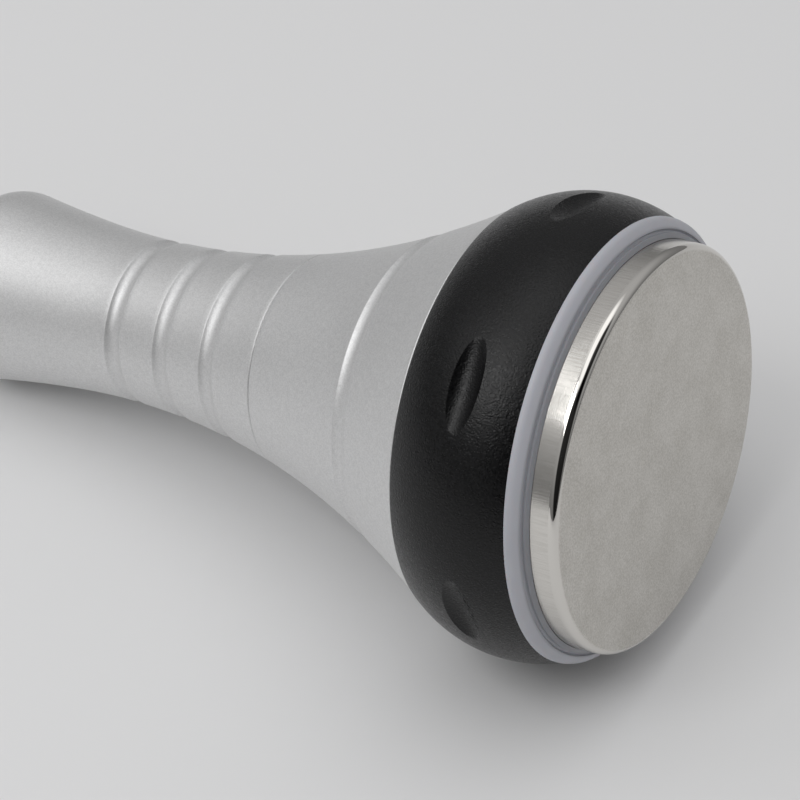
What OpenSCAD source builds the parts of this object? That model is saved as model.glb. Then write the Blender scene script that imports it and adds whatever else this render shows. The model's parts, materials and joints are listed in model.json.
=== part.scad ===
// Ultrasonic cavitation handpiece, lying on its side on a flat surface.
// Every piece is drawn upright on the tool axis: z runs from the tail end to the emitter face.
// lay_down() then turns the axis towards +X and rests collar and tail on z = 0.
// All lengths are in millimetres.

/* [Rear handle] */
// Length of the rear handle, from its tail end to the seam
handle_l = 64.2; // [62:0.1:68]
// Radius of the waist, the thinnest stretch of the grip
waist_r = 12.9; // [12.6:0.05:14]
// Distance of the waist from the tail end
waist_z = 32.75; // [28:0.25:34]
// Largest radius of the flared tail
tail_r = 15.35; // [14.5:0.05:17]
// Radius of the tail's rounded rim
tail_round = 7; // [5.5:0.25:7.5]
// How sharply the tail flares, as a power of the distance from the waist
tail_curve = 1.6; // [1.3:0.05:2]
// Radius of the long bore inside the handle
handle_bore_r = 10; // [9.7:0.05:10.2]
// Thickness of the tail's end wall
tail_wall = 4; // [3:0.25:5]
// Number of grooves turned into the handle
groove_count = 3; // [1:1:3]
// Distance of the first groove from the tail end
first_groove_z = 36.1; // [34:0.1:37]
// Distance from one groove to the next
groove_pitch = 9.3; // [8:0.1:9.4]
// Width of a groove in the handle
groove_w = 2.9; // [2:0.1:3.2]
// Depth of a groove in the handle
groove_d = 0.65; // [0.3:0.05:0.8]

/* [Flared bell] */
// How far the bell's shoulder stands out past the disc's edge
shoulder_out = 1.2; // [0.8:0.05:1.6]
// How sharply the bell flares, as a power of the distance from the waist
bell_curve = 2.16; // [2:0.02:2.5]
// Wall thickness of the bell
bell_wall = 2.2; // [2:0.1:2.7]
// Thickness of the web that carries the rear spigot
rear_web_t = 1.6; // [1.2:0.1:2.5]
// Thickness of the web that carries the front spigot
front_web_t = 2.5; // [2:0.1:4]
// Length of the rear spigot that screws into the handle
rear_spigot_l = 8; // [6:0.5:9]
// Wall of the handle round the rear spigot
rear_spigot_cover = 1.7; // [1.4:0.05:2]
// Wall thickness of the rear spigot
rear_spigot_wall = 2.5; // [2.2:0.1:2.8]
// Length of the front spigot that the collar screws on to
front_spigot_l = 9; // [7:0.5:10]
// Width of the shoulder round the front spigot
shoulder_w = 2.1; // [1.8:0.1:2.6]
// Wall thickness of the front spigot
front_spigot_wall = 2.9; // [2.2:0.1:3.2]
// Distance of the bell's shallow groove behind the shoulder
bell_groove_back = 14.1; // [12:0.1:16]
// Width of the bell's shallow groove
bell_groove_w = 2.6; // [2:0.1:3]
// Depth of the bell's shallow groove
bell_groove_d = 0.42; // [0.2:0.02:0.6]

/* [Grip collar] */
// Length of the collar along the axis
collar_l = 19.1; // [17:0.1:21]
// How far the collar's crown stands out from the bell's shoulder
collar_rise = 3.3; // [2.8:0.05:4.5]
// Distance of the crown from the shoulder
collar_crown = 10.5; // [9.75:0.25:12]
// How far the collar's rear edge stands out past the bell's shoulder
collar_step = 0.15; // [0.05:0.05:0.4]
// Thickness of the inner lip that holds the emitter
lip_t = 5.4; // [4:0.1:6]
// Number of finger dimples
dimple_count = 6; // [3:1:8]
// Length of a dimple round the collar
dimple_l = 13.6; // [10:0.1:16]
// Width of a dimple
dimple_w = 4.6; // [3:0.1:6]
// Depth of a dimple
dimple_d = 1.2; // [0.9:0.05:1.5]
// How far the dimples lie in front of the crown
dimple_ahead = 0.4; // [0:0.1:1]
// Angle of the first dimple from the underside
dimple_turn = 41.4; // [0:0.2:60]

/* [Face gasket] */
// How far the gasket stands out past the collar's front edge
gasket_proud = 0.3; // [0.1:0.02:0.5]
// Height of the gasket's bead in front of the collar
gasket_bead_h = 2.5; // [2:0.1:3.5]
// Thickness of the flange under the emitter disc
gasket_flange_t = 1; // [0.8:0.1:1.5]
// Width of the fine line between the bead's outer and inner bands
gasket_line_w = 0.3; // [0.2:0.05:0.5]

/* [Emitter] */
// Radius of the emitter disc
disc_r = 30; // [27:0.1:33]
// Thickness of the emitter disc
disc_t = 5.6; // [5:0.1:7]
// Radius of the polished round at the edge of the face
rim_round = 1; // [0.5:0.1:1.5]
// How far the hub lies inside the disc's edge
hub_step = 6; // [5.5:0.1:7]
// Thickness of the ring that traps the collar's lip
thrust_ring_t = 2.5; // [2:0.1:3]
// Width of the hub's rear land, which the thrust ring is screwed to
thrust_land = 5.5; // [5:0.1:6]
// Number of screws in the thrust ring
thrust_screw_count = 6; // [3:1:8]
// Shank radius of a thrust ring screw
thrust_screw_r = 1.25; // [1:0.05:1.3]
// Length of a screw's shank
thrust_screw_l = 6; // [5:0.5:8]
// Radius of a screw's head
thrust_screw_head_r = 1.9; // [1.6:0.05:1.95]
// Height of a screw's head
thrust_screw_head_h = 1.4; // [1:0.1:2]
// Radius across the corners of a screw's key socket
thrust_screw_key_r = 0.9; // [0.7:0.05:1]

/* [Transducer] */
// Length of the front mass
front_mass_l = 16; // [14:0.5:18]
// How far the front mass narrows from the hub to the piezo rings
front_mass_taper = 1; // [0.5:0.1:2]
// Length of the straight land at an end of a tapered mass
mass_land = 2; // [1:0.25:3]
// Hole radius of a piezo ring
piezo_bore_r = 7.5; // [6.5:0.1:8.5]
// Thickness of a piezo ring
piezo_t = 5; // [4:0.1:6]
// Thickness of an electrode
electrode_t = 0.4; // [0.3:0.05:0.6]
// Width of an electrode's solder tab
tab_w = 4; // [3:0.25:5]
// Angle of the two solder tabs on either side of the top
tab_spread = 25; // [22:1:60]
// Length of the back mass
back_mass_l = 16; // [14:0.5:18]
// Space that the leads have between the back mass's rear end and the bell
back_mass_room = 3.6; // [3.4:0.1:5]
// Chamfer round the back mass's rear end
back_mass_chamfer = 1; // [0.5:0.1:1.5]
// Free space between the back mass and the bell's rear web
rear_room = 3.3; // [3:0.1:6]
// Radius of the prestress bolt's shank and of the coupling stud
bolt_r = 4; // [3:0.25:4.5]
// Distance between the bolt's tip and the coupling stud
bolt_tip_gap = 2.4; // [1:0.1:4]
// Radius of the prestress bolt's head
bolt_head_r = 6.5; // [5.5:0.1:7]
// Height of the prestress bolt's head
bolt_head_h = 8; // [5:0.25:8]
// Radius across the corners of the bolt's key socket
bolt_key_r = 3.45; // [2.5:0.05:4]
// Thickness of the bolt's washer
washer_t = 1.6; // [1.2:0.1:2]
// How far the washer stands out past the bolt's head
washer_out = 1.5; // [1:0.1:1.8]
// Length of the coupling stud
stud_l = 14; // [12:0.5:14]

/* [Leads] */
// Radius of a lead's insulation
lead_r = 0.7; // [0.5:0.05:0.8]
// Space between a lead and the piezo rings
lead_room = 0.9; // [0.5:0.05:1.2]
// Height of the solder under a tab
solder_h = 0.4; // [0.3:0.05:0.8]
// How far the solder stands out round a lead
solder_out = 0.3; // [0.2:0.05:0.5]
// Distance of a lead's pin from the tool axis
lead_pin_r = 2.2; // [2.2:0.1:3]
// Distance from the bolt's head to the lead connector
connector_gap = 9; // [7:0.5:12]
// Length of the lead connector
connector_l = 12; // [8:0.5:14]
// Width of the lead connector
connector_w = 9; // [7:0.5:10]
// Thickness of the lead connector
connector_t = 8; // [6:0.5:9]
// Wall of the lead connector round its socket
connector_wall = 1.5; // [1:0.1:2]
// Depth of the lead connector's socket
socket_d = 9; // [6:0.5:11]

/* [Cord gland] */
// Radius of the gland's threads
gland_thread_r = 6; // [5.5:0.1:6.2]
// Wall of the gland round its seal
gland_wall = 1.3; // [1:0.1:1.5]
// Width of the step that the seal stands on
seal_step = 0.45; // [0.3:0.05:0.6]
// Radius of the way through the slip ring and the nut for the cord
cord_way_r = 3.2; // [2.9:0.05:3.5]
// Radius of the seal's bore, which a cord fills
seal_bore_r = 2.75; // [2:0.05:2.85]
// Radius across the corners of the gland's hexagons
gland_hex_r = 9; // [8.4:0.1:9.4]
// Thickness of the gland's hexagon flange
gland_flange_t = 4; // [3:0.25:5]
// Length of thread behind the flange
gland_rear_l = 7; // [6:0.5:9]
// Thickness of the wall at the domed nut's end
nut_end_t = 2.6; // [2:0.1:4]
// Size of the slope round the domed nut's end
nut_dome = 2; // [1:0.1:2.5]
// Thickness of the washer under the flange
gland_washer_t = 1; // [0.6:0.1:1.5]
// Thickness of the lock nut inside the tail
lock_nut_t = 3.5; // [2.5:0.25:4.5]
// Space between the lock nut's corners and the handle's bore
lock_nut_room = 1; // [0.8:0.1:1.5]
// How far the gland's thread stands out of the lock nut
thread_out = 1.5; // [0.5:0.25:3]
// How far the seal stands out of the gland's body
seal_out = 0.6; // [0.3:0.1:1]
// Thickness of the slip ring between seal and nut
slip_ring_t = 0.8; // [0.5:0.1:1.2]

/* [Seals, threads and clearances] */
// Depth of the groove of a sealing ring
seal_depth = 1; // [0.8:0.05:1.2]
// Width of the groove of a sealing ring
seal_groove_w = 1.8; // [1.6:0.1:2.4]
// Gap on each side of a sealing ring
seal_gap = 0.03; // [0.02:0.01:0.1]
// Gap on the radius between a thread or a turning fit and its bore
turn_gap = 0.05; // [0.03:0.01:0.1]
// Gap on the radius beside pieces that only pass each other
pass_gap = 0.5; // [0.3:0.05:0.8]
// Play between the lip and the thrust ring
lip_play = 0.1; // [0.05:0.01:0.2]
// Spare depth at the bottom of a threaded hole
end_play = 0.2; // [0.1:0.05:0.5]
// Gap between the tightened nut and the gland's flange
nut_gap = 0.3; // [0.1:0.05:0.6]
// Width of the fine chamfer on each edge at a joint line
edge_break = 0.2; // [0.1:0.05:0.3]

/* [Hidden] */
$fn = 96;

// Stations along the tool axis, from the tail end over the transducer to the emitter face
seam_z = handle_l;
back_mass_rear_z = seam_z + rear_web_t + rear_room;
back_mass_z = back_mass_rear_z + back_mass_l;
return_z = back_mass_z + electrode_t;
piezo_rear_z = return_z + piezo_t;
live_z = piezo_rear_z + electrode_t;
piezo_front_z = live_z + piezo_t;
hub_back_z = piezo_front_z + front_mass_l;
ring_back_z = hub_back_z - thrust_ring_t;
lip_back_z = hub_back_z + lip_play;
collar_front_z = lip_back_z + lip_t;
disc_back_z = collar_front_z + gasket_flange_t;
face_z = disc_back_z + disc_t;
shoulder_z = collar_front_z - collar_l;
crown_z = shoulder_z + collar_crown;
bolt_seat_z = back_mass_rear_z - washer_t;
bolt_end_z = bolt_seat_z - bolt_head_h;
bolt_tip_z = hub_back_z - stud_l / 2 - bolt_tip_gap;
connector_z = bolt_end_z - connector_gap;

// Stations of the cord gland, behind the tail end
flange_front_z = -gland_washer_t;
flange_back_z = flange_front_z - gland_flange_t;
gland_rear_z = flange_back_z - gland_rear_l;
gland_front_z = tail_wall + lock_nut_t + thread_out;
seal_front_z = flange_back_z - end_play;
seal_back_z = gland_rear_z - seal_out;
slip_back_z = seal_back_z - slip_ring_t;
nut_front_z = flange_back_z - nut_gap;
nut_rear_z = slip_back_z - nut_end_t;
nut_dome_r = gland_hex_r * cos(30);

// Radii of the head, from the disc inwards and outwards
bell_r = disc_r + shoulder_out;
collar_r = bell_r + collar_rise;
front_spigot_r = bell_r - shoulder_w;
collar_bore_r = front_spigot_r + turn_gap;
hub_r = disc_r - hub_step;
lip_bore_r = hub_r + turn_gap;
front_mass_r = hub_r - thrust_land;
ring_bore_r = front_mass_r + pass_gap;
ring_r = collar_bore_r - pass_gap;
screw_circle_r = (ring_bore_r + hub_r - seal_depth) / 2;
piezo_r = front_mass_r - front_mass_taper;
bolt_hole_r = bolt_r + turn_gap;
gland_hole_r = gland_thread_r + turn_gap;
seal_r = gland_thread_r - gland_wall - turn_gap;

// Stations of the sealing rings
seam_seal_z = seam_z - rear_spigot_l / 2;
collar_seal_z = shoulder_z + seal_groove_w;
hub_seal_z = (lip_back_z + collar_front_z) / 2;

// Outline of the aluminium grip: a flared tail with a round rim, a waist and a wide bell
outline_steps = 16;
rim_steps = 8;
tail_rim_r = tail_r - tail_round;
tail_slope = atan(tail_curve * (tail_r - waist_r) / (waist_z - tail_round));
flare_start_z = tail_round + tail_round * sin(tail_slope);
flare_start_r = tail_rim_r + tail_round * cos(tail_slope);
function tail_flare_r(z) = waist_r + (flare_start_r - waist_r)
    * pow((waist_z - z) / (waist_z - flare_start_z), tail_curve);
function bell_flare_r(z) = waist_r + (bell_r - waist_r)
    * pow((z - waist_z) / (shoulder_z - waist_z), bell_curve);
function grip_r(z) = z < waist_z ? tail_flare_r(z) : bell_flare_r(z);
function steps(from, to, count) = [for (i = [0:count]) from + (to - from) * i / count];
function flare_points(from, to, inset = 0) =
    [for (z = steps(from, to, outline_steps)) [grip_r(z) - inset, z]];
function from_second(points) = [for (i = [1:len(points) - 1]) points[i]];
rear_spigot_z = seam_z - rear_spigot_l;
counterbore_r = grip_r(rear_spigot_z) - rear_spigot_cover;
rear_spigot_r = counterbore_r - turn_gap;
rear_spigot_bore_r = rear_spigot_r - rear_spigot_wall;
back_mass_rear_r = grip_r(back_mass_rear_z) - bell_wall - back_mass_room;

// Outline of the collar: one arc from its rear edge over the crown to the gasket
arc_rise = collar_rise - collar_step;
collar_arc_r = (arc_rise * arc_rise + collar_crown * collar_crown) / (2 * arc_rise);
collar_arc_centre_r = collar_r - collar_arc_r;
function collar_outline_r(z) = collar_arc_centre_r
    + sqrt(collar_arc_r * collar_arc_r - (z - crown_z) * (z - crown_z));
gasket_r = collar_outline_r(collar_front_z) + gasket_proud;

// The tilt at which the round tail rim and the bulging collar stand on one plane
support_gap = norm([crown_z - tail_round, collar_arc_centre_r - tail_rim_r]);
tilt = atan2(collar_arc_centre_r - tail_rim_r, crown_z - tail_round)
    + asin((collar_arc_r - tail_round) / support_gap);
axis_h = tail_rim_r * cos(tilt) + tail_round - tail_round * sin(tilt);
front_reach = (face_z - rim_round) * cos(tilt) + (disc_r - rim_round) * sin(tilt) + rim_round;
rear_reach = nut_rear_z * cos(tilt) - (nut_dome_r - nut_dome) * sin(tilt);
axis_x = -(front_reach + rear_reach) / 2;
echo(tilt = tilt, axis_x = axis_x, axis_h = axis_h, face_z = face_z);

module lay_down() {
    translate([axis_x, 0, axis_h])
        rotate([0, 90 - tilt, 0])
            children();
}

module rod(r, from, to) {
    translate([0, 0, from]) cylinder(h = to - from, r = r);
}

module ring(r, bore, from, to) {
    difference() {
        rod(r, from, to);
        rod(bore, from - 1, to + 1);
    }
}

// A hexagonal rod, sized across its corners
module hex_rod(r, from, to) {
    translate([0, 0, from]) cylinder(h = to - from, r = r, $fn = 6);
}

// A round-bottomed groove of a given width and depth in a surface of a given radius
module groove_cut(z, surface_r, width, depth) {
    cut_r = (width * width / 4 + depth * depth) / (2 * depth);
    translate([0, 0, z])
        rotate_extrude()
            translate([surface_r - depth + cut_r, 0]) circle(r = cut_r);
}

// A straight-sided groove that holds a sealing ring
module seal_groove(z, r) {
    ring(r + 1, r - seal_depth, z - seal_groove_w / 2, z + seal_groove_w / 2);
}

// A sealing ring between the floor of its groove and the bore outside it
module seal_ring(z, grooved_r, bore_r) {
    floor_r = grooved_r - seal_depth;
    translate([0, 0, z])
        rotate_extrude()
            translate([(bore_r + floor_r) / 2, 0]) circle(r = (bore_r - floor_r) / 2 - seal_gap);
}

module handle_body() {
    round_rim = [for (a = steps(-90, tail_slope, rim_steps))
        [tail_rim_r + tail_round * cos(a), tail_round + tail_round * sin(a)]];
    outline = concat(
        [[0, 0]], round_rim,
        from_second(flare_points(flare_start_z, waist_z)),
        from_second(flare_points(waist_z, seam_z - edge_break)),
        [[grip_r(seam_z) - edge_break, seam_z], [0, seam_z]]
    );
    color("silver")
        lay_down()
            difference() {
                rotate_extrude() polygon(outline);
                rod(handle_bore_r, tail_wall, seam_z + 1);
                rod(gland_hole_r, -1, tail_wall + 1);
                rod(counterbore_r, rear_spigot_z - end_play, seam_z + 1);
                for (i = [0:groove_count - 1]) {
                    z = first_groove_z + i * groove_pitch;
                    groove_cut(z, grip_r(z), groove_w, groove_d);
                }
            }
}

// The bell is a thin flared shell between two webs, with a threaded spigot on each
module bell_housing() {
    groove_z = shoulder_z - bell_groove_back;
    front_spigot_z = shoulder_z + front_spigot_l;
    shell = concat(
        [[0, rear_spigot_z], [rear_spigot_r, rear_spigot_z], [rear_spigot_r, seam_z]],
        [[grip_r(seam_z) - edge_break, seam_z]],
        flare_points(seam_z + edge_break, shoulder_z - edge_break),
        [[bell_r - edge_break, shoulder_z], [front_spigot_r, shoulder_z]],
        [[front_spigot_r, front_spigot_z], [0, front_spigot_z]]
    );
    hollow_from = seam_z + rear_web_t;
    hollow_to = shoulder_z - front_web_t;
    hollow = concat([[0, hollow_from]], flare_points(hollow_from, hollow_to, bell_wall), [[0, hollow_to]]);
    color("silver")
        lay_down()
            difference() {
                rotate_extrude() polygon(shell);
                rotate_extrude() polygon(hollow);
                rod(rear_spigot_bore_r, rear_spigot_z - 1, hollow_from + 1);
                rod(front_spigot_r - front_spigot_wall, hollow_to - 1, front_spigot_z + 1);
                seal_groove(seam_seal_z, rear_spigot_r);
                seal_groove(collar_seal_z, front_spigot_r);
                groove_cut(groove_z, grip_r(groove_z), bell_groove_w, bell_groove_d);
            }
}

module seam_o_ring() {
    color("dimgray") lay_down() seal_ring(seam_seal_z, rear_spigot_r, counterbore_r);
}

module collar_o_ring() {
    color("dimgray") lay_down() seal_ring(collar_seal_z, front_spigot_r, collar_bore_r);
}

// An oval dimple is cut by a long barrel that lies along the rim
module dimple_cut() {
    end_drop = collar_r - sqrt(collar_r * collar_r - dimple_l * dimple_l / 4);
    side_drop = collar_arc_r - sqrt(collar_arc_r * collar_arc_r - dimple_w * dimple_w / 4);
    side_depth = dimple_d - side_drop;
    taper = dimple_d - end_drop;
    belly_r = (dimple_w * dimple_w / 4 + side_depth * side_depth) / (2 * side_depth);
    barrel_r = (dimple_l * dimple_l / 4 + taper * taper) / (2 * taper);
    translate([collar_r - dimple_d + belly_r, 0, crown_z + dimple_ahead])
        rotate([90, 0, 0])
            rotate_extrude()
                intersection() {
                    translate([belly_r - barrel_r, 0]) circle(r = barrel_r);
                    translate([0, -dimple_l]) square([2 * belly_r, 2 * dimple_l]);
                }
}

module grip_collar() {
    bulge = [for (z = steps(shoulder_z + edge_break, collar_front_z - edge_break, 2 * outline_steps))
        [collar_outline_r(z), z]];
    outline = concat(
        [[collar_bore_r, shoulder_z], [collar_outline_r(shoulder_z) - edge_break, shoulder_z]],
        bulge,
        [[collar_outline_r(collar_front_z) - edge_break, collar_front_z], [lip_bore_r, collar_front_z]],
        [[lip_bore_r, lip_back_z], [collar_bore_r, lip_back_z]]
    );
    color([0.11, 0.11, 0.11])
        lay_down()
            difference() {
                rotate_extrude() polygon(outline);
                for (i = [0:dimple_count - 1])
                    rotate([0, 0, dimple_turn + i * 360 / dimple_count]) dimple_cut();
            }
}

// The gasket's sloping bead has an outer band, a fine line and an inner band
module face_gasket() {
    bead_r = disc_r + turn_gap;
    bead_w = gasket_r - bead_r;
    line_r = bead_r + 0.34 * bead_w;
    line_z = collar_front_z + 0.68 * gasket_bead_h;
    color([0.72, 0.73, 0.76])
        lay_down()
            rotate_extrude()
                polygon([
                    [lip_bore_r, collar_front_z], [gasket_r, collar_front_z],
                    [gasket_r, collar_front_z + 0.12 * gasket_bead_h],
                    [gasket_r - 0.16 * bead_w, collar_front_z + 0.42 * gasket_bead_h],
                    [line_r + gasket_line_w, line_z], [line_r, line_z - gasket_line_w],
                    [line_r - gasket_line_w, line_z], [bead_r, collar_front_z + gasket_bead_h],
                    [bead_r, disc_back_z], [lip_bore_r, disc_back_z]
                ]);
}

module thrust_screw_places() {
    for (i = [0:thrust_screw_count - 1])
        rotate([0, 0, i * 360 / thrust_screw_count])
            translate([screw_circle_r, 0, 0])
                children();
}

// A steel disc with a polished edge, and a hub that passes through the collar's lip
module emitter_disc() {
    screw_hole_z = ring_back_z + thrust_screw_l + end_play;
    polished_edge = [for (a = steps(0, 90, rim_steps))
        [disc_r - rim_round + rim_round * cos(a), face_z - rim_round + rim_round * sin(a)]];
    outline = concat(
        [[0, hub_back_z], [hub_r, hub_back_z], [hub_r, disc_back_z], [disc_r, disc_back_z]],
        polished_edge, [[0, face_z]]
    );
    color([0.76, 0.75, 0.72])
        lay_down()
            difference() {
                rotate_extrude() polygon(outline);
                seal_groove(hub_seal_z, hub_r);
                rod(bolt_hole_r, hub_back_z - 1, hub_back_z + stud_l / 2 + end_play);
                thrust_screw_places() rod(thrust_screw_r, hub_back_z - 1, screw_hole_z);
            }
}

module hub_o_ring() {
    color("dimgray") lay_down() seal_ring(hub_seal_z, hub_r, lip_bore_r);
}

module thrust_ring() {
    color("silver")
        lay_down()
            difference() {
                ring(ring_r, ring_bore_r, ring_back_z, hub_back_z);
                thrust_screw_places() rod(thrust_screw_r + turn_gap, ring_back_z - 1, hub_back_z + 1);
            }
}

module thrust_screws() {
    head_back_z = ring_back_z - thrust_screw_head_h;
    color("lightgray")
        lay_down()
            thrust_screw_places()
                difference() {
                    union() {
                        rod(thrust_screw_r - turn_gap, ring_back_z, ring_back_z + thrust_screw_l);
                        rod(thrust_screw_head_r, head_back_z, ring_back_z);
                    }
                    hex_rod(thrust_screw_key_r, head_back_z - 1, head_back_z + thrust_screw_head_h / 2);
                }
}

module coupling_stud() {
    color("gray") lay_down() rod(bolt_r, hub_back_z - stud_l / 2, hub_back_z + stud_l / 2);
}

// The front mass narrows from the hub to the piezo rings
module front_mass() {
    color("silver")
        lay_down()
            difference() {
                rotate_extrude()
                    polygon([
                        [0, piezo_front_z], [piezo_r, piezo_front_z], [piezo_r, piezo_front_z + mass_land],
                        [front_mass_r, ring_back_z - mass_land], [front_mass_r, hub_back_z], [0, hub_back_z]
                    ]);
                rod(bolt_hole_r, piezo_front_z - 1, bolt_tip_z + end_play);
                rod(bolt_hole_r, hub_back_z - stud_l / 2 - end_play, hub_back_z + 1);
            }
}

module piezo_ring_front() {
    color("beige") lay_down() ring(piezo_r, piezo_bore_r, live_z, piezo_front_z);
}

module piezo_ring_rear() {
    color("beige") lay_down() ring(piezo_r, piezo_bore_r, return_z, piezo_rear_z);
}

// Leads run from the solder tabs, down beside the back mass, to the connector in the handle
live_angle = 180 - tab_spread;
return_angle = 180 + tab_spread;
lead_top_r = piezo_r + lead_r + lead_room;
lead_shoulder_r = back_mass_rear_r + lead_r + pass_gap;
lead_bore_r = (bolt_head_r + rear_spigot_bore_r) / 2;
lead_sides = 8;
solder_r = lead_r + solder_out;

// An electrode is a thin ring with one solder tab
module electrode(z, angle) {
    rotate([0, 0, angle])
        difference() {
            union() {
                rod(piezo_r, z, z + electrode_t);
                translate([0, -tab_w / 2, z]) cube([lead_top_r + solder_r, tab_w, electrode_t]);
            }
            rod(piezo_bore_r, z - 1, z + electrode_t + 1);
        }
}

module live_electrode() {
    color("goldenrod") lay_down() electrode(piezo_rear_z, live_angle);
}

module return_electrode() {
    color("goldenrod") lay_down() electrode(back_mass_z, return_angle);
}

module insulating_sleeve() {
    color("white") lay_down() ring(piezo_bore_r - turn_gap, bolt_hole_r, back_mass_z, piezo_front_z);
}

module back_mass() {
    color("gray")
        lay_down()
            difference() {
                rotate_extrude()
                    polygon([
                        [0, back_mass_rear_z], [back_mass_rear_r - back_mass_chamfer, back_mass_rear_z],
                        [back_mass_rear_r, back_mass_rear_z + back_mass_chamfer],
                        [piezo_r, back_mass_z - mass_land], [piezo_r, back_mass_z], [0, back_mass_z]
                    ]);
                rod(bolt_hole_r, back_mass_rear_z - 1, back_mass_z + 1);
            }
}

module bolt_washer() {
    color("lightgray")
        lay_down()
            ring(bolt_head_r + washer_out, bolt_hole_r, bolt_seat_z, back_mass_rear_z);
}

module prestress_bolt() {
    color("dimgray")
        lay_down()
            difference() {
                union() {
                    rod(bolt_head_r, bolt_end_z, bolt_seat_z);
                    rod(bolt_r, bolt_seat_z - 1, bolt_tip_z);
                }
                hex_rod(bolt_key_r, bolt_end_z - 1, bolt_end_z + bolt_head_h / 2);
            }
}

// A lead's route as distances from the tool axis and heights
function lead_route(tab_z) = [
    [lead_top_r, tab_z - solder_h], [lead_top_r, back_mass_z - 1],
    [lead_shoulder_r, back_mass_rear_z], [lead_bore_r, bolt_seat_z - washer_t],
    [lead_bore_r, bolt_end_z - 1.5], [lead_pin_r, connector_z + 2], [lead_pin_r, connector_z]
];
function unit(v) = v / norm(v);
function heading(route, i) = unit(
    (i == 0 ? [0, 0] : unit(route[i] - route[i - 1]))
    + (i == len(route) - 1 ? [0, 0] : unit(route[i + 1] - route[i])));
function mitre(route, i) = i == 0 ? 1 : 1 / (heading(route, i) * unit(route[i] - route[i - 1]));

// A round lead swept along a route that lies in one plane
module lead(route) {
    last = len(route) - 1;
    points = [for (i = [0:last]) for (k = [0:lead_sides - 1])
        let (a = 360 * k / lead_sides, way = heading(route, i), side = lead_r * cos(a) * mitre(route, i))
        [route[i][0] + way[1] * side, lead_r * sin(a), route[i][1] - way[0] * side]];
    walls = [for (i = [0:last - 1]) for (k = [0:lead_sides - 1])
        let (next = (k + 1) % lead_sides, row = i * lead_sides)
        [row + k, row + lead_sides + k, row + lead_sides + next, row + next]];
    start = [for (k = [0:lead_sides - 1]) k];
    end = [for (k = [lead_sides - 1:-1:0]) last * lead_sides + k];
    polyhedron(points, concat(walls, [start, end]));
}

module live_lead() {
    color("firebrick") lay_down() rotate([0, 0, live_angle]) lead(lead_route(piezo_rear_z));
}

module return_lead() {
    color([0.15, 0.15, 0.15]) lay_down() rotate([0, 0, return_angle]) lead(lead_route(back_mass_z));
}

// A drop of solder holds each lead under its tab
module solder_drop(angle, tab_z) {
    rotate([0, 0, angle])
        translate([lead_top_r, 0, 0])
            rod(solder_r, tab_z - solder_h, tab_z);
}

module solder_joints() {
    color("lightgray")
        lay_down() {
            solder_drop(live_angle, piezo_rear_z);
            solder_drop(return_angle, back_mass_z);
        }
}

// The connector takes both leads in its front and has a socket for the cord's plug behind
module lead_connector() {
    centre_x = -lead_pin_r * cos(tab_spread);
    socket_t = connector_t - 2 * connector_wall;
    socket_w = connector_w - 2 * connector_wall;
    color("ivory")
        lay_down()
            translate([centre_x, 0, connector_z - connector_l])
                difference() {
                    translate([-connector_t / 2, -connector_w / 2, 0])
                        cube([connector_t, connector_w, connector_l]);
                    translate([-socket_t / 2, -socket_w / 2, -1])
                        cube([socket_t, socket_w, socket_d + 1]);
                }
}

// A hexagon flange with a thread on each side, bored for the cord and for the seal
module gland_body() {
    color("dimgray")
        lay_down()
            difference() {
                union() {
                    rod(gland_thread_r, gland_rear_z, gland_front_z);
                    hex_rod(gland_hex_r, flange_back_z, flange_front_z);
                }
                rod(seal_r - seal_step, gland_rear_z - 1, gland_front_z + 1);
                rod(seal_r + turn_gap, gland_rear_z - 1, seal_front_z);
            }
}

module gland_washer() {
    color("dimgray") lay_down() ring(nut_dome_r, gland_hole_r, flange_front_z, 0);
}

module gland_lock_nut() {
    color("gray")
        lay_down()
            difference() {
                hex_rod(handle_bore_r - lock_nut_room, tail_wall, tail_wall + lock_nut_t);
                rod(gland_hole_r, tail_wall - 1, tail_wall + lock_nut_t + 1);
            }
}

module gland_seal() {
    color([0.2, 0.2, 0.2]) lay_down() ring(seal_r, seal_bore_r, seal_back_z, seal_front_z);
}

module gland_slip_ring() {
    color("lightgray") lay_down() ring(seal_r, cord_way_r, slip_back_z, seal_back_z);
}

// The nut has a hexagon in front, a domed end and a bore that stops at the slip ring
module gland_nut() {
    hex_back_z = (nut_front_z + nut_rear_z) / 2;
    color("dimgray")
        lay_down()
            difference() {
                union() {
                    hex_rod(gland_hex_r, hex_back_z, nut_front_z);
                    rotate_extrude()
                        polygon([
                            [0, nut_rear_z], [nut_dome_r - nut_dome, nut_rear_z],
                            [nut_dome_r, nut_rear_z + nut_dome], [nut_dome_r, hex_back_z + 1],
                            [0, hex_back_z + 1]
                        ]);
                }
                rod(gland_hole_r, slip_back_z, nut_front_z + 1);
                rod(cord_way_r, nut_rear_z - 1, slip_back_z + 1);
            }
}

handle_body();
bell_housing();
seam_o_ring();
collar_o_ring();
grip_collar();
face_gasket();
emitter_disc();
hub_o_ring();
thrust_ring();
thrust_screws();
coupling_stud();
front_mass();
piezo_ring_front();
live_electrode();
piezo_ring_rear();
return_electrode();
insulating_sleeve();
back_mass();
bolt_washer();
prestress_bolt();
solder_joints();
live_lead();
return_lead();
lead_connector();
gland_body();
gland_washer();
gland_lock_nut();
gland_seal();
gland_slip_ring();
gland_nut();
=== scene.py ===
import json
from math import acos, asin, atan, cos, degrees, pi, radians, sin, sqrt, tan

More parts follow.
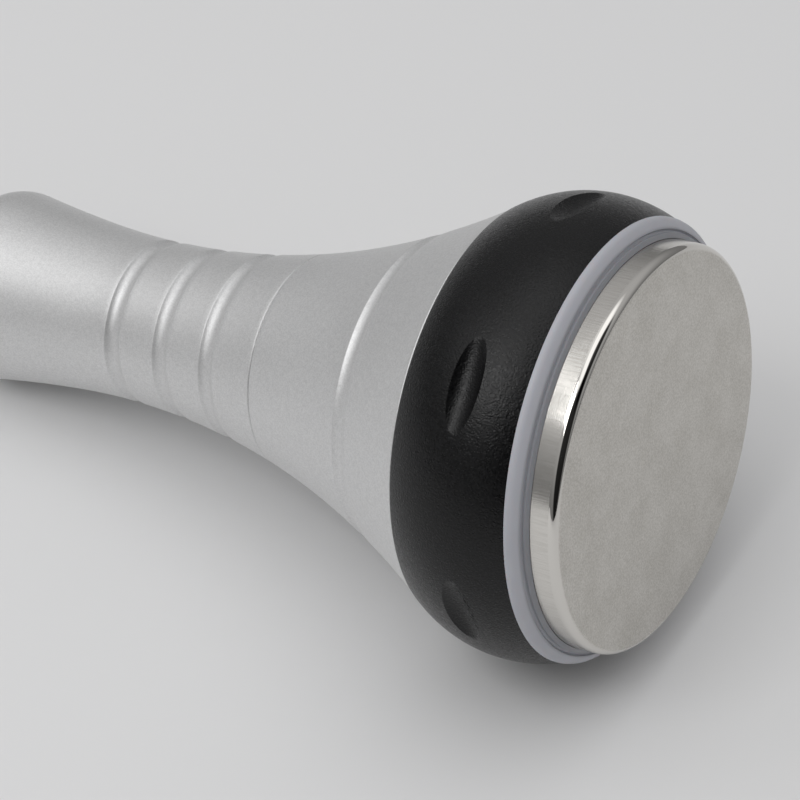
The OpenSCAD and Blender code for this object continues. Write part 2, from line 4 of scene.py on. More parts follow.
import bpy
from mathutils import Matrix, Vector


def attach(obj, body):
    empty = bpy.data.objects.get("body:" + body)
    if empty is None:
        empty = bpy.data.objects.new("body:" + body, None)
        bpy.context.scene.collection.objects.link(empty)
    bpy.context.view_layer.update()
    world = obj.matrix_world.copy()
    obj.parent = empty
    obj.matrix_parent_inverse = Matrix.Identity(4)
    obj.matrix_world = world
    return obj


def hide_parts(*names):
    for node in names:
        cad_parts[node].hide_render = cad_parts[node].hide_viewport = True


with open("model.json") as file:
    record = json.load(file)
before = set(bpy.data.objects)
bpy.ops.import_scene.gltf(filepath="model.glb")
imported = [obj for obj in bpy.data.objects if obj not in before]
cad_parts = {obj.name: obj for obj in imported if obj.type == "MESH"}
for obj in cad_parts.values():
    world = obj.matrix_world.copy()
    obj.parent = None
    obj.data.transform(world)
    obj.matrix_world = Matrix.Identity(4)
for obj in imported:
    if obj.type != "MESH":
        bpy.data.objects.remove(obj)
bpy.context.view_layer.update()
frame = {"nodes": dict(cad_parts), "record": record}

mm = 0.001

# the tool's axis, from the middle of the tail end to the emitter face; pieces are modelled upright on it
faceAt = 124 * mm
axisWay = Vector(frame["record"]["mounts"][0]["axis"])
tailPlace = Vector(frame["record"]["mounts"][0]["pos_m"]) - axisWay * faceAt
lieTurn = (0, acos(axisWay.z), 0)


# helpers for modelling

def letGo():
    if bpy.context.object and bpy.context.object.mode != "OBJECT":
        bpy.ops.object.mode_set(mode="OBJECT")
    bpy.ops.object.select_all(action="DESELECT")


def pick(piece):
    letGo()
    piece.select_set(True)
    bpy.context.view_layer.objects.active = piece


def mendNormals(piece):
    pick(piece)
    bpy.ops.object.mode_set(mode="EDIT")
    bpy.ops.mesh.select_all(action="SELECT")
    bpy.ops.mesh.remove_doubles(threshold=0.002 * mm)
    bpy.ops.mesh.normals_make_consistent(inside=False)
    bpy.ops.object.mode_set(mode="OBJECT")


def drawOutline(name, outline):
    letGo()
    bpy.ops.mesh.primitive_plane_add(size=mm, location=(0, 0, 0))
    piece = bpy.context.object
    piece.name = name
    bpy.ops.object.mode_set(mode="EDIT")
    bpy.ops.mesh.select_all(action="SELECT")
    bpy.ops.mesh.merge(type="CENTER")  # one point, which is drawn along the outline
    bpy.ops.transform.translate(value=(outline[0][0], 0, outline[0][1]))
    for (r, z), (nextR, nextZ) in zip(outline, outline[1:]):
        bpy.ops.mesh.extrude_vertices_move(TRANSFORM_OT_translate={"value": (nextR - r, 0, nextZ - z)})
    bpy.ops.object.mode_set(mode="OBJECT")
    return piece


def turnOutline(name, outline, steps):
    piece = drawOutline(name, outline)
    bpy.ops.object.mode_set(mode="EDIT")
    bpy.ops.mesh.select_all(action="SELECT")
    bpy.ops.mesh.spin(steps=steps, angle=2 * pi, center=(0, 0, 0), axis=(0, 0, 1))
    mendNormals(piece)
    return piece


def useModifier(piece, kind, **settings):
    pick(piece)
    modifier = piece.modifiers.new(kind.lower(), kind)
    for name, value in settings.items():
        setattr(modifier, name, value)
    bpy.ops.object.modifier_apply(modifier=modifier.name)


def cutAway(piece, cutter, how="DIFFERENCE"):
    useModifier(piece, "BOOLEAN", operation=how, solver="EXACT", object=cutter)
    bpy.data.objects.remove(cutter)


def softenEdges(piece, width):
    useModifier(piece, "BEVEL", width=width, segments=2, limit_method="ANGLE", angle_limit=radians(28),
                use_clamp_overlap=True, harden_normals=False)


def layDown(piece, body, stoodFor, smoothUnder=30):
    pick(piece)
    bpy.ops.object.shade_smooth_by_angle(angle=radians(smoothUnder))
    piece.rotation_euler = lieTurn
    piece.location = tailPlace
    bpy.ops.object.transform_apply(location=True, rotation=True, scale=True)
    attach(piece, body)
    if stoodFor:
        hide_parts(stoodFor)
    letGo()


# helpers for outlines, which are lists of (distance from the axis, height above the tail end)

outlineStep = 0.8 * mm
grooveSteps = 14
sealGrooveDepth = 1 * mm
sealGrooveHalf = 0.9 * mm


def along(start, end, count):
    return [start + (end - start) * i / count for i in range(count + 1)]


def roundOff(centreR, centreZ, radius, start, end, count):
    return [(centreR + radius * cos(radians(a)), centreZ + radius * sin(radians(a)))
            for a in along(start, end, count)]


def crossing(above, low, high):
    for _ in range(30):  # each time the half where above() changes is kept
        middle = (low + high) / 2
        if above(low) == above(middle):
            low = middle
        else:
            high = middle
    return low


def surfacePoints(surfaceR, start, end):
    return [(surfaceR(z), z) for z in along(start, end, max(2, round((end - start) / outlineStep)))]


def withGrooves(surfaceR, start, end, grooves):
    points, reached = [], start
    for at, wide, deep in grooves:
        cutR = (wide * wide / 4 + deep * deep) / (2 * deep)
        centreR = surfaceR(at) - deep + cutR

        def floorR(z):
            return centreR - sqrt(max(cutR * cutR - (z - at) ** 2, 0))

        def isCut(z):
            return abs(z - at) < cutR * 0.99 and floorR(z) < surfaceR(z)

        rear = crossing(isCut, at - wide, at)
        front = crossing(isCut, at, at + wide)
        points += surfacePoints(surfaceR, reached, rear)
        points += [(floorR(z), z) for z in along(rear, front, grooveSteps)[1:-1]]
        reached = front
    return points + surfacePoints(surfaceR, reached, end)


def sealGroove(r, at):
    floorR, rear, front = r - sealGrooveDepth, at - sealGrooveHalf, at + sealGrooveHalf
    return [(r, rear), (floorR, rear), (floorR, front), (r, front)]


# helpers for materials: a Wire is one output, and sums on wires add Math nodes

class Wire:
    def __init__(self, finish, socket):
        self.finish = finish
        self.socket = socket

    def __add__(self, other):
        return self.finish.maths("ADD", self, other)

    def __sub__(self, other):
        return self.finish.maths("SUBTRACT", self, other)

    def __rsub__(self, other):
        return self.finish.maths("SUBTRACT", other, self)

    def __mul__(self, other):
        return self.finish.maths("MULTIPLY", self, other)

    def __truediv__(self, other):
        return self.finish.maths("DIVIDE", self, other)

    __radd__ = __add__
    __rmul__ = __mul__


class Finish:
    def __init__(self, name, world=None):
        self.material = world or bpy.data.materials.new(name)
        self.material.use_nodes = True
        self.nodes = self.material.node_tree.nodes
        self.links = self.material.node_tree.links
        self.nodes.clear()

    def add(self, kind, settings=None, values=None, out=0):
        node = self.nodes.new(kind)
        for name, value in (settings or {}).items():
            setattr(node, name, value)
        for name, value in (values or {}).items():
            if isinstance(value, Wire):
                self.links.new(value.socket, node.inputs[name])
            else:
                node.inputs[name].default_value = value
        return Wire(self, node.outputs[out]) if node.outputs else node

    def maths(self, operation, first, second=0.0):
        return self.add("ShaderNodeMath", {"operation": operation}, {0: first, 1: second})

    def mix(self, share, first, second):
        return self.add("ShaderNodeMix", {"data_type": "RGBA"}, {0: share, 6: first, 7: second}, out=2)

    def place(self):
        return self.add("ShaderNodeTexCoord", out="Object")

    def toolPlace(self):  # upright on the tool's axis, in metres
        return self.add("ShaderNodeMapping", {"vector_type": "TEXTURE"},
                        {"Vector": self.place(), "Location": tailPlace, "Rotation": lieTurn})

    def parts(self, vector):
        return [self.add("ShaderNodeSeparateXYZ", None, {0: vector}, out=axis) for axis in "XYZ"]

    def speckle(self, size, detail=2.0, rough=0.5, place=None):
        return self.add("ShaderNodeTexNoise", None, {
            "Vector": place or self.place(),
            "Scale": 1 / size,
            "Detail": detail,
            "Roughness": rough,
        })

    def ramp(self, value, low, high, lowTo=0.0, highTo=1.0):
        return self.add("ShaderNodeMapRange", {"interpolation_type": "SMOOTHSTEP"}, {
            "Value": value,
            "From Min": low,
            "From Max": high,
            "To Min": lowTo,
            "To Max": highTo,
        })

    def bump(self, height, depth):
        return self.add("ShaderNodeBump", None, {"Height": height, "Distance": depth, "Strength": 1.0})

    def end(self, values):
        shader = self.add("ShaderNodeBsdfPrincipled", None, values)
        self.add("ShaderNodeOutputMaterial", None, {"Surface": shader})
        return self.material


def dress(piece, *materials):
    piece.data.materials.clear()
    for material in materials:
        piece.data.materials.append(material)


def aim(turn, rise):  # the way to a place in the sky
    turn, rise = radians(turn), radians(rise)
    return Vector((cos(rise) * cos(turn), cos(rise) * sin(turn), sin(rise)))


# camera and stage
print("camera, floor and lights")
camera = dict(place=(0.18096, -0.26573, 0.32923), turn=(45.491, -0.163, 30.794), lens=130)

bpy.ops.object.camera_add(location=camera["place"], rotation=[radians(a) for a in camera["turn"]])
bpy.context.object.data.lens = camera["lens"]
bpy.context.object.data.clip_start = 0.01
bpy.context.scene.camera = bpy.context.object

letGo()
bpy.ops.mesh.primitive_plane_add(size=3, location=(0, 0, 0))
table = bpy.context.object
table.name = "paleTable"
paper = Finish("palePaper")
mottle = paper.speckle(40 * mm)
dress(table, paper.end({
    "Base Color": paper.mix(mottle * 0.06 + 0.47, (0.73, 0.73, 0.732, 1), (0.81, 0.81, 0.812, 1)),
    "Roughness": 0.9,
    "Specular IOR Level": 0.1,
}))

# a light tent: dim walls, a bright roof, and two round openings, beside the camera and above the face, which
# show as dark in reflections
tent = dict(wall=0.20, wallRise=0.29, wallTo=0.75, roof=0.9, roofFrom=0.80, roofFull=0.95, behind=0.9)
openings = [dict(turn=-45, rise=30, dark=30, edge=42), dict(turn=0, rise=54, dark=16, edge=26)]
openingShade = 0.95
world = bpy.data.worlds.new("lightTent")
bpy.context.scene.world = world
cloth = Finish("lightTent", world)
way = cloth.add("ShaderNodeTexCoord", out="Generated")
up = cloth.parts(way)[2]
seen = cloth.add("ShaderNodeLightPath", out="Is Camera Ray")
mirrored = cloth.add("ShaderNodeLightPath", out="Is Glossy Ray")
lit = (cloth.ramp(up, 0.0, tent["wallTo"], tent["wall"], tent["wall"] + tent["wallRise"])
       + cloth.ramp(up, tent["roofFrom"], tent["roofFull"]) * tent["roof"])
for hole in openings:
    towards = cloth.add("ShaderNodeVectorMath", {"operation": "DOT_PRODUCT"},
                        {0: way, 1: aim(hole["turn"], hole["rise"])}, "Value")
    shade = cloth.ramp(towards, cos(radians(hole["edge"])), cos(radians(hole["dark"])), 0.0, openingShade)
    lit = lit * (1 - mirrored * shade)
cloth.add("ShaderNodeOutputWorld", None, {"Surface": cloth.add("ShaderNodeBackground", None, {
    "Color": (0.995, 0.995, 1.0, 1),
    "Strength": lit * (1 - seen) + seen * tent["behind"],
})})
bpy.context.scene.view_settings.view_transform = "Standard"

softboxAway = 0.9
softboxes = dict(
    front=dict(turn=-106, rise=54, size=(0.42, 0.34), power=1.62),
    left=dict(turn=-157, rise=48, size=(0.38, 0.32), power=0.33),
)
for name, box in softboxes.items():
    place = aim(box["turn"], box["rise"]) * softboxAway
    facing = place.to_track_quat("Z", "Y").to_euler()
    bpy.ops.object.light_add(type="AREA", location=place, rotation=facing)
    lamp = bpy.context.object
    lamp.name = name + "Softbox"
    lamp.data.shape = "RECTANGLE"
    lamp.data.size, lamp.data.size_y = box["size"]
    lamp.data.energy = box["power"]


# the aluminium grip: rear handle and flared bell
print("grip")
grip = dict(
    tailR=15.35 * mm, tailRound=7 * mm, tailSteps=14, tailCurve=1.6,
    waistR=12.9 * mm, waistAt=32.75 * mm,
    bellR=31.2 * mm, bellCurve=2.16, shoulderAt=98.3 * mm,
    seamAt=64.2 * mm, seamEdge=0.2 * mm,
    grooves=[(z * mm, 2.9 * mm, 0.65 * mm) for z in (36.1, 45.4, 54.7)],
    bellGroove=(84.2 * mm, 2.6 * mm, 0.42 * mm),
    boreR=10 * mm, tailWall=4 * mm, glandHoleR=6.05 * mm,
    rearSpigotAt=56.2 * mm, rearSpigotCover=1.7 * mm, rearSpigotWall=2.5 * mm, rearSpigotRoom=0.2 * mm,
    fitGap=0.05 * mm, rearSealBehind=4 * mm, frontSealAhead=1.8 * mm,
    bellWall=2.2 * mm, bellInnerSteps=24, rearWeb=1.6 * mm, frontWeb=2.5 * mm,
    frontSpigotR=29.1 * mm, frontSpigotTo=107.3 * mm, frontSpigotBoreR=26.2 * mm,
    threadFrom=102.1 * mm, threadDepth=0.6 * mm, threadPitch=1.5 * mm, threadGap=0.02 * mm,
    threadRelief=(0.9 * mm, 0.5 * mm), threadLeadIn=0.7 * mm, threadRunOut=1 * mm,
    edge=0.07 * mm, around=192,
)
tailRimR = grip["tailR"] - grip["tailRound"]
tailSlope = atan(grip["tailCurve"] * (grip["tailR"] - grip["waistR"]) / (grip["waistAt"] - grip["tailRound"]))
flareAt = grip["tailRound"] * (1 + sin(tailSlope))
flareR = tailRimR + grip["tailRound"] * cos(tailSlope)


def gripR(z):
    if z < grip["waistAt"]:
        share = (grip["waistAt"] - z) / (grip["waistAt"] - flareAt)
        return grip["waistR"] + (flareR - grip["waistR"]) * share ** grip["tailCurve"]
    share = (z - grip["waistAt"]) / (grip["shoulderAt"] - grip["waistAt"])
    return grip["waistR"] + (grip["bellR"] - grip["waistR"]) * share ** grip["bellCurve"]


seam, seamEdge = grip["seamAt"], grip["seamEdge"]
shoulder = grip["shoulderAt"]
counterboreR = gripR(grip["rearSpigotAt"]) - grip["rearSpigotCover"]
counterboreFloor = grip["rearSpigotAt"] - grip["rearSpigotRoom"]
rearSpigotR = counterboreR - grip["fitGap"]
rearSpigotBoreR = rearSpigotR - grip["rearSpigotWall"]
tailArc = roundOff(tailRimR, grip["tailRound"], grip["tailRound"], -90, degrees(tailSlope), grip["tailSteps"])
handle = turnOutline(
    "gripHandle",
    [(grip["glandHoleR"], 0)]
    + tailArc[:-1]
    + withGrooves(gripR, flareAt, seam - seamEdge, grip["grooves"])
    + [(gripR(seam) - seamEdge, seam), (counterboreR, seam)]
    + [(counterboreR, counterboreFloor), (grip["boreR"], counterboreFloor)]
    + [(grip["boreR"], grip["tailWall"]), (grip["glandHoleR"], grip["tailWall"]), (grip["glandHoleR"], 0)],
    grip["around"])
softenEdges(handle, grip["edge"])

hollowFrom, hollowTo = seam + grip["rearWeb"], shoulder - grip["frontWeb"]
threadR = grip["frontSpigotR"] - grip["threadDepth"]
reliefFrom, reliefTo = [grip["threadFrom"] - behind for behind in grip["threadRelief"]]
bell = turnOutline(
    "flaredBell",
    [(rearSpigotBoreR, grip["rearSpigotAt"]), (rearSpigotR, grip["rearSpigotAt"])]
    + sealGroove(rearSpigotR, seam - grip["rearSealBehind"])
    + [(rearSpigotR, seam), (gripR(seam) - seamEdge, seam)]
    + withGrooves(gripR, seam + seamEdge, shoulder - seamEdge, [grip["bellGroove"]])
    + [(grip["bellR"] - seamEdge, shoulder), (grip["frontSpigotR"], shoulder)]
    + sealGroove(grip["frontSpigotR"], shoulder + grip["frontSealAhead"])
    + [(grip["frontSpigotR"], reliefFrom), (threadR, reliefTo)]
    + [(threadR, grip["frontSpigotTo"]), (grip["frontSpigotBoreR"], grip["frontSpigotTo"])]
    + [(grip["frontSpigotBoreR"], hollowTo)]
    + [(gripR(z) - grip["bellWall"], z) for z in along(hollowTo, hollowFrom, grip["bellInnerSteps"])]
    + [(rearSpigotBoreR, hollowFrom), (rearSpigotBoreR, grip["rearSpigotAt"])],
    grip["around"])
softenEdges(bell, grip["edge"])


# a thread is a ridge wound round its core; its half widths are shares of the pitch
thread = dict(halfRoot=0.42, halfCrest=0.08, sunk=0.1 * mm, stepsPerTurn=96)


def windThread(name, r, depth, pitch, start, end):
    rootR, halfRoot, halfCrest = r - depth, thread["halfRoot"] * pitch, thread["halfCrest"] * pitch
    ridge = drawOutline(name, [
        (rootR - thread["sunk"], start - halfRoot), (rootR, start - halfRoot), (r, start - halfCrest),
        (r, start + halfCrest), (rootR, start + halfRoot), (rootR - thread["sunk"], start + halfRoot),
        (rootR - thread["sunk"], start - halfRoot)])
    mendNormals(ridge)
    turns = (end - start) / pitch
    steps = round(thread["stepsPerTurn"] * turns)
    useModifier(ridge, "SCREW", axis="Z", angle=2 * pi * turns, screw_offset=end - start, steps=steps,
                render_steps=steps, use_merge_vertices=True, merge_threshold=0.001 * mm)
    pick(ridge)
    bpy.ops.object.mode_set(mode="EDIT")
    bpy.ops.mesh.select_all(action="DESELECT")
    bpy.ops.mesh.select_mode(type="EDGE")
    bpy.ops.mesh.select_non_manifold(extend=False, use_wire=False, use_boundary=True, use_multi_face=False,
                                     use_non_contiguous=False, use_verts=False)
    bpy.ops.mesh.edge_face_add()  # closes both ends
    bpy.ops.mesh.select_mode(type="VERT")
    mendNormals(ridge)
    return ridge


spigotThread = windThread(
    "spigotThread", grip["frontSpigotR"] - grip["threadGap"], grip["threadDepth"] - grip["threadGap"],
    grip["threadPitch"], grip["threadFrom"] + grip["threadLeadIn"],
    grip["frontSpigotTo"] - grip["threadRunOut"])


# the black collar, with six oval finger dimples
print("collar")
collar = dict(
    rise=3.288 * mm, step=0.15 * mm, crownAt=108.8 * mm, frontAt=117.4 * mm, edge=0.2 * mm,
    boreR=29.15 * mm, lipR=24.05 * mm, lipAt=112 * mm,
    dimples=6, dimpleLong=13.6 * mm, dimpleWide=4.6 * mm, dimpleDeep=1.2 * mm, dimpleAhead=0.4 * mm,
    dimpleTurn=41.4, dimpleSteps=48, dimpleAround=64,
    profileSteps=56, around=288,
)
crownR = grip["bellR"] + collar["rise"]
crownRun = collar["crownAt"] - shoulder
arcRise = collar["rise"] - collar["step"]
collarArcR = (arcRise ** 2 + crownRun ** 2) / (2 * arcRise)


def collarR(z):
    return crownR - collarArcR + sqrt(collarArcR ** 2 - (z - collar["crownAt"]) ** 2)


profileFrom, profileTo = shoulder + collar["edge"], collar["frontAt"] - collar["edge"]
ring = turnOutline(
    "dimpledCollar",
    [(collar["boreR"], shoulder), (collarR(shoulder) - collar["edge"], shoulder)]
    + [(collarR(z), z) for z in along(profileFrom, profileTo, collar["profileSteps"])]
    + [(collarR(collar["frontAt"]) - collar["edge"], collar["frontAt"]), (collar["lipR"], collar["frontAt"])]
    + [(collar["lipR"], collar["lipAt"]), (collar["boreR"], collar["lipAt"]), (collar["boreR"], shoulder)],
    collar["around"])

# each dimple is cut by a long barrel that lies along the rim
endDrop = crownR - sqrt(crownR ** 2 - collar["dimpleLong"] ** 2 / 4)
sideDrop = collarArcR - sqrt(collarArcR ** 2 - collar["dimpleWide"] ** 2 / 4)
sideDepth = collar["dimpleDeep"] - sideDrop
taper = collar["dimpleDeep"] - endDrop
bellyR = (collar["dimpleWide"] ** 2 / 4 + sideDepth ** 2) / (2 * sideDepth)
barrelR = (collar["dimpleLong"] ** 2 / 4 + taper ** 2) / (2 * taper)
tipAngle = degrees(asin(sqrt(barrelR ** 2 - (barrelR - bellyR) ** 2) / barrelR))
barrelArc = roundOff(bellyR - barrelR, 0, barrelR, -tipAngle, tipAngle, collar["dimpleSteps"])
barrel = turnOutline("barrel", [(max(r, 0), z) for r, z in barrelArc], collar["dimpleAround"])
barrel.rotation_euler = (pi / 2, 0, 0)
barrel.location = (crownR - collar["dimpleDeep"] + bellyR, 0, collar["crownAt"] + collar["dimpleAhead"])
pick(barrel)
bpy.ops.object.transform_apply(location=True, rotation=True, scale=True)
for i in range(collar["dimples"]):
    cutter = barrel.copy()
    cutter.data = barrel.data.copy()
    bpy.context.collection.objects.link(cutter)
    cutter.rotation_euler = (0, 0, radians(collar["dimpleTurn"] + i * 360 / collar["dimples"]))
    cutAway(ring, cutter)
bpy.data.objects.remove(barrel)
mendNormals(ring)


# the pale gasket bead, with a fine line between its two bands
print("gasket and emitter")
emitter = dict(
    r=30 * mm, backAt=118.4 * mm, rimRound=1.25 * mm, rimSteps=12, faceRings=(0.6, 0.25, 0),
    hubR=24 * mm, hubAt=111.9 * mm, studR=4.05 * mm, studTo=119.1 * mm, sealAt=114.7 * mm, around=224,
)
gasket = dict(
    out=0.3 * mm, high=2.5 * mm, line=0.3 * mm, lineIn=0.34, lineUp=0.68, gap=0.05 * mm,
    outerBand=[(1, 0.12), (0.955, 0.28), (0.84, 0.42), (0.64, 0.56)],  # shares of its width and its height
    innerBand=[(0.25, 0.86), (0.08, 0.97), (0, 1)],
    around=224,
)
beadR = emitter["r"] + gasket["gap"]
beadOut = collarR(collar["frontAt"]) + gasket["out"]
beadWide = beadOut - beadR
beadAt = collar["frontAt"]
lineR = beadR + gasket["lineIn"] * beadWide
lineAt = beadAt + gasket["lineUp"] * gasket["high"]


def bandPoints(band):
    return [(beadR + out * beadWide, beadAt + up * gasket["high"]) for out, up in band]


bead = turnOutline(
    "gasketBead",
    [(collar["lipR"], beadAt), (beadOut, beadAt)] + bandPoints(gasket["outerBand"])
    + [(lineR + gasket["line"], lineAt), (lineR, lineAt - gasket["line"]), (lineR - gasket["line"], lineAt)]
    + bandPoints(gasket["innerBand"])
    + [(beadR, emitter["backAt"]), (collar["lipR"], emitter["backAt"]), (collar["lipR"], beadAt)],
    gasket["around"])

rimR, rimAt = emitter["r"] - emitter["rimRound"], faceAt - emitter["rimRound"]
disc = turnOutline(
    "emitterDisc",
    [(0, emitter["studTo"]), (emitter["studR"], emitter["studTo"]), (emitter["studR"], emitter["hubAt"])]
    + [(emitter["hubR"], emitter["hubAt"])] + sealGroove(emitter["hubR"], emitter["sealAt"])
    + [(emitter["hubR"], emitter["backAt"]), (emitter["r"], emitter["backAt"])]
    + roundOff(rimR, rimAt, emitter["rimRound"], 0, 90, emitter["rimSteps"])
    + [(emitter["r"] * share, faceAt) for share in emitter["faceRings"]],
    emitter["around"])


# the cord gland at the tail, with its hexagon flange, threads and domed nut
print("cord gland")
gland = dict(
    cornerR=9 * mm, chamferOut=0.1 * mm, chamferAngle=30, spare=0.1 * mm, rodSpare=2 * mm, edge=0.12 * mm,
    flangeFront=-1 * mm, flangeBack=-5 * mm, rearAt=-12 * mm, frontAt=9 * mm,
    boreR=4.2 * mm, seatR=4.7 * mm, seatAt=-5.2 * mm,
    threadR=5.98 * mm, threadDepth=0.6 * mm, pitch=1.5 * mm, threadLeadIn=0.8 * mm, threadRunOut=0.9 * mm,
    nutFront=-5.3 * mm, nutHexTo=-10.65 * mm, nutStep=0.3 * mm, nutRear=-15.96 * mm, nutDome=2 * mm,
    nutDomeSteps=10, nutBoreR=6.05 * mm, nutSeatAt=-13.4 * mm, cordWayR=3.2 * mm, around=128,
)
flatR = gland["cornerR"] * cos(pi / 6)
chamferR = flatR + gland["chamferOut"]
slope = (gland["cornerR"] - chamferR) * tan(radians(gland["chamferAngle"]))
spareR = gland["cornerR"] + gland["spare"]  # turned past the corners, which the hexagon then trims


def hexBand(front, back):
    return [(chamferR, front), (spareR, front - slope), (spareR, back + slope), (chamferR, back)]


def trimToHexagon(piece, start, end):
    letGo()
    bpy.ops.mesh.primitive_cylinder_add(
        vertices=6, radius=gland["cornerR"], depth=end - start + 2 * gland["rodSpare"],
        location=(0, 0, (start + end) / 2))
    rod = bpy.context.object
    rod.rotation_euler = (0, 0, pi / 2)  # a corner downwards, as on the part's own hexagons
    bpy.ops.object.transform_apply(location=True, rotation=True, scale=True)
    cutAway(piece, rod, "INTERSECT")
    mendNormals(piece)
    softenEdges(piece, gland["edge"])


coreR = gland["threadR"] - gland["threadDepth"]
body = turnOutline(
    "cordGland",
    [(gland["boreR"], gland["frontAt"]), (coreR, gland["frontAt"]), (coreR, gland["flangeFront"])]
    + hexBand(gland["flangeFront"], gland["flangeBack"])
    + [(coreR, gland["flangeBack"]), (coreR, gland["rearAt"]), (gland["seatR"], gland["rearAt"])]
    + [(gland["seatR"], gland["seatAt"]), (gland["boreR"], gland["seatAt"])]
    + [(gland["boreR"], gland["frontAt"])],
    gland["around"])
trimToHexagon(body, gland["rearAt"], gland["frontAt"])

nutDome = gland["nutDome"]
nut = turnOutline(
    "domedNut",
    [(gland["cordWayR"], gland["nutRear"])]
    + roundOff(flatR - nutDome, gland["nutRear"] + nutDome, nutDome, -90, 0, gland["nutDomeSteps"])
    + [(flatR, gland["nutHexTo"] - gland["nutStep"])] + hexBand(gland["nutFront"], gland["nutHexTo"])[::-1]
    + [(gland["nutBoreR"], gland["nutFront"]), (gland["nutBoreR"], gland["nutSeatAt"])]
    + [(gland["cordWayR"], gland["nutSeatAt"]), (gland["cordWayR"], gland["nutRear"])],
    gland["around"])
trimToHexagon(nut, gland["nutRear"], gland["nutFront"])

rearThread = windThread(
    "glandThread", gland["threadR"], gland["threadDepth"], gland["pitch"],
    gland["rearAt"] + gland["threadLeadIn"], gland["flangeBack"] - gland["threadRunOut"])


print("materials")


def blastedAluminium():
    made = Finish("blastedAluminium")
    fine = made.speckle(0.22 * mm, 2, 0.6)
    coarse = made.speckle(0.6 * mm, 2, 0.5)
    cloud = made.speckle(18 * mm, 3, 0.5)
    grain = made.ramp(fine, 0.3, 0.7) * 0.6 + made.ramp(coarse, 0.3, 0.7) * 0.25 + cloud * 0.15
    return made.end({
        "Base Color": made.mix(grain, (0.65, 0.65, 0.65, 1), (0.81, 0.81, 0.81, 1)),
        "Metallic": 0.85,
        "Roughness": made.ramp(cloud, 0.3, 0.7, 0.50, 0.56),
        "Normal": made.bump(fine * 0.7 + coarse * 0.3, 0.035 * mm),
    })


def grainedBlack():
    made = Finish("grainedBlack")
    fine = made.speckle(0.26 * mm, 1, 0.6)
    coarse = made.speckle(0.7 * mm, 2, 0.5)
    cloud = made.speckle(14 * mm)
    grain = made.ramp(fine, 0.4, 0.7)
    return made.end({
        "Base Color": made.mix(grain, (0.0012, 0.0012, 0.0014, 1), (0.006, 0.006, 0.0066, 1)),
        "Roughness": made.ramp(coarse, 0.3, 0.7, 0.23, 0.30) + cloud * 0.04,
        "Specular IOR Level": 0.30,
        "Normal": made.bump(fine * 0.85 + coarse * 0.15, 0.085 * mm),
    })


def paleSilicone():
    made = Finish("paleSilicone")
    height = made.parts(made.toolPlace())[2]
    # the inner band next to the steel is coloured darker: painted shade on this lower band
    innerBandShade = made.ramp(height, lineAt - 0.25 * mm, lineAt + 0.1 * mm)
    cloud = made.speckle(5 * mm)
    fine = made.speckle(0.2 * mm)
    return made.end({
        "Base Color": made.mix(innerBandShade * 0.8 + cloud * 0.1, (0.47, 0.475, 0.515, 1), (0.24, 0.245, 0.265, 1)),
        "Roughness": made.ramp(cloud, 0.3, 0.7, 0.42, 0.55),
        "Subsurface Weight": 0.1,
        "Subsurface Scale": 0.4 * mm,
        "Normal": made.bump(fine, 0.004 * mm),
    })


def emitterSteel():
    made = Finish("emitterSteel")
    x, y, z = made.parts(made.toolPlace())
    r = made.maths("SQRT", x * x + y * y)
    face = (made.ramp(z, faceAt - 0.25 * mm, faceAt - 0.02 * mm)
            * made.ramp(r, emitter["r"] - 0.6 * mm, emitter["r"] - 1.1 * mm))
    wall = made.ramp(z, faceAt - 1.2 * mm, faceAt - 1.4 * mm)
    fine = made.speckle(0.28 * mm, 3, 0.6)
    cloud = made.speckle(6 * mm, 3, 0.6)
    around = made.maths("ARCTAN2", y, x) * emitter["r"]
    acrossWall = made.add("ShaderNodeCombineXYZ", None, {0: around, 1: z * 0.05})
    alongWall = made.add("ShaderNodeCombineXYZ", None, {0: around * 0.02, 1: z})
    strokes = made.speckle(0.24 * mm, 2, 0.5, acrossWall)
    turned = made.speckle(0.07 * mm, 2, 0.5, alongWall)
    relief = fine * face * 0.006 + wall * (strokes * 0.007 + turned * 0.006)
    mottle = made.ramp(fine, 0.35, 0.65) * 0.5 + made.ramp(cloud, 0.3, 0.7) * 0.2
    worn = face * (mottle + 0.15) + wall * made.ramp(strokes, 0.35, 0.7) * 0.25
    return made.end({
        "Base Color": made.mix(worn, (0.70, 0.68, 0.645, 1), (0.44, 0.42, 0.38, 1)),
        "Metallic": 1.0,
        "Roughness": face * (0.22 + cloud * 0.08) + wall * 0.14 + 0.05,
        "Normal": made.bump(relief, mm),
    })


def darkNylon():
    made = Finish("darkNylon")
    fine = made.speckle(0.25 * mm, 3, 0.6)
    cloud = made.speckle(6 * mm)
    return made.end({
        "Base Color": made.mix(cloud, (0.022, 0.022, 0.024, 1), (0.036, 0.036, 0.039, 1)),
        "Roughness": made.ramp(cloud, 0.3, 0.7, 0.42, 0.55),
        "Normal": made.bump(fine, 0.012 * mm),
    })


def plainFinish(name, dark, light, roughness, metallic=0.0):
    made = Finish(name)
    fine = made.speckle(0.3 * mm, 3, 0.6)
    cloud = made.speckle(4.2 * mm)
    return made.end({
        "Base Color": made.mix(fine * 0.5 + cloud * 0.5, dark + (1,), light + (1,)),
        "Metallic": metallic,
        "Roughness": made.ramp(cloud, 0.3, 0.7, roughness - 0.05, roughness + 0.05),
        "Normal": made.bump(fine, 0.004 * mm),
    })


def turnedMetal(name, dark, light, roughness):
    made = Finish(name)
    x, y, z = made.parts(made.toolPlace())
    r = made.maths("SQRT", x * x + y * y)
    lines = made.speckle(0.12 * mm, 2, 0.5, made.add("ShaderNodeCombineXYZ", None, {0: r, 1: z}))
    cloud = made.speckle(4 * mm)
    return made.end({
        "Base Color": made.mix(lines * 0.6 + cloud * 0.4, dark + (1,), light + (1,)),
        "Metallic": 1.0,
        "Roughness": made.ramp(cloud, 0.3, 0.7, roughness - 0.05, roughness + 0.05),
        "Normal": made.bump(lines, 0.006 * mm),
    })


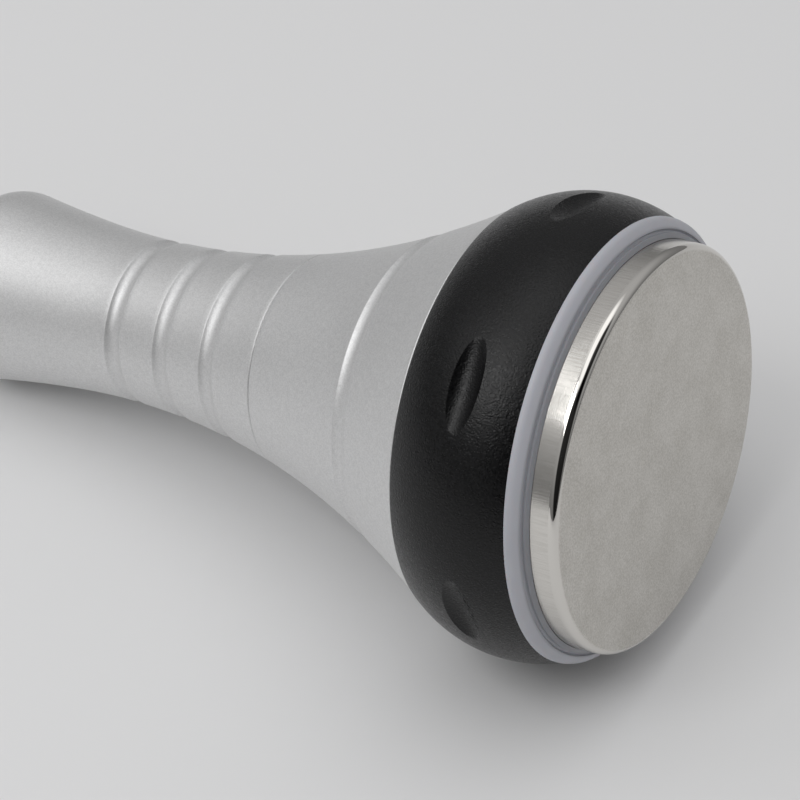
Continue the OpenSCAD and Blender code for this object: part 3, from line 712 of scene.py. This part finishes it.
aluminium = blastedAluminium()
black = grainedBlack()
silicone = paleSilicone()
steel = emitterSteel()
nylon = darkNylon()
slotFinish = {
    "mass_aluminium": turnedMetal("turnedAluminium", (0.66, 0.66, 0.67), (0.80, 0.80, 0.81), 0.3),
    "steel": turnedMetal("turnedSteel", (0.48, 0.48, 0.49), (0.60, 0.60, 0.61), 0.28),
    "screw_steel": plainFinish("platedSteel", (0.27, 0.27, 0.29), (0.38, 0.38, 0.40), 0.32, 1.0),
    "seal_rubber": plainFinish("sealRubber", (0.018, 0.018, 0.018), (0.034, 0.034, 0.034), 0.62),
    "piezo_ceramic": plainFinish("piezoCeramic", (0.60, 0.54, 0.43), (0.72, 0.66, 0.54), 0.7),
    "electrode_brass": plainFinish("electrodeBrass", (0.66, 0.48, 0.20), (0.80, 0.62, 0.31), 0.3, 1.0),
    "sleeve_plastic": plainFinish("sleevePlastic", (0.76, 0.76, 0.74), (0.86, 0.86, 0.84), 0.5),
    "solder": plainFinish("solderTin", (0.60, 0.60, 0.61), (0.76, 0.76, 0.77), 0.22, 1.0),
    "lead_red": plainFinish("redInsulation", (0.44, 0.035, 0.03), (0.58, 0.055, 0.045), 0.38),
    "lead_black": plainFinish("blackInsulation", (0.02, 0.02, 0.02), (0.035, 0.035, 0.035), 0.38),
    "connector_ivory": plainFinish("connectorIvory", (0.74, 0.71, 0.62), (0.82, 0.79, 0.70), 0.48),
    "gland_plastic": nylon,
}
for row in frame["record"]["subparts"]:
    if row["material_slot"] in slotFinish:
        dress(frame["nodes"][row["node"]], slotFinish[row["material_slot"]])

dress(handle, aluminium)
dress(bell, aluminium)
dress(spigotThread, aluminium)
dress(ring, black)
dress(bead, silicone)
dress(disc, steel)
dress(body, nylon)
dress(nut, nylon)
dress(rearThread, nylon)

print("laying down")
layDown(handle, "housing", "handle_body")
layDown(bell, "housing", "bell_housing")
layDown(spigotThread, "housing", None)
layDown(ring, "collar", "grip_collar")
layDown(bead, "head", "face_gasket", 50)
layDown(disc, "head", "emitter_disc")
layDown(body, "housing", "gland_body")
layDown(rearThread, "housing", None)
layDown(nut, "nut", "gland_nut")
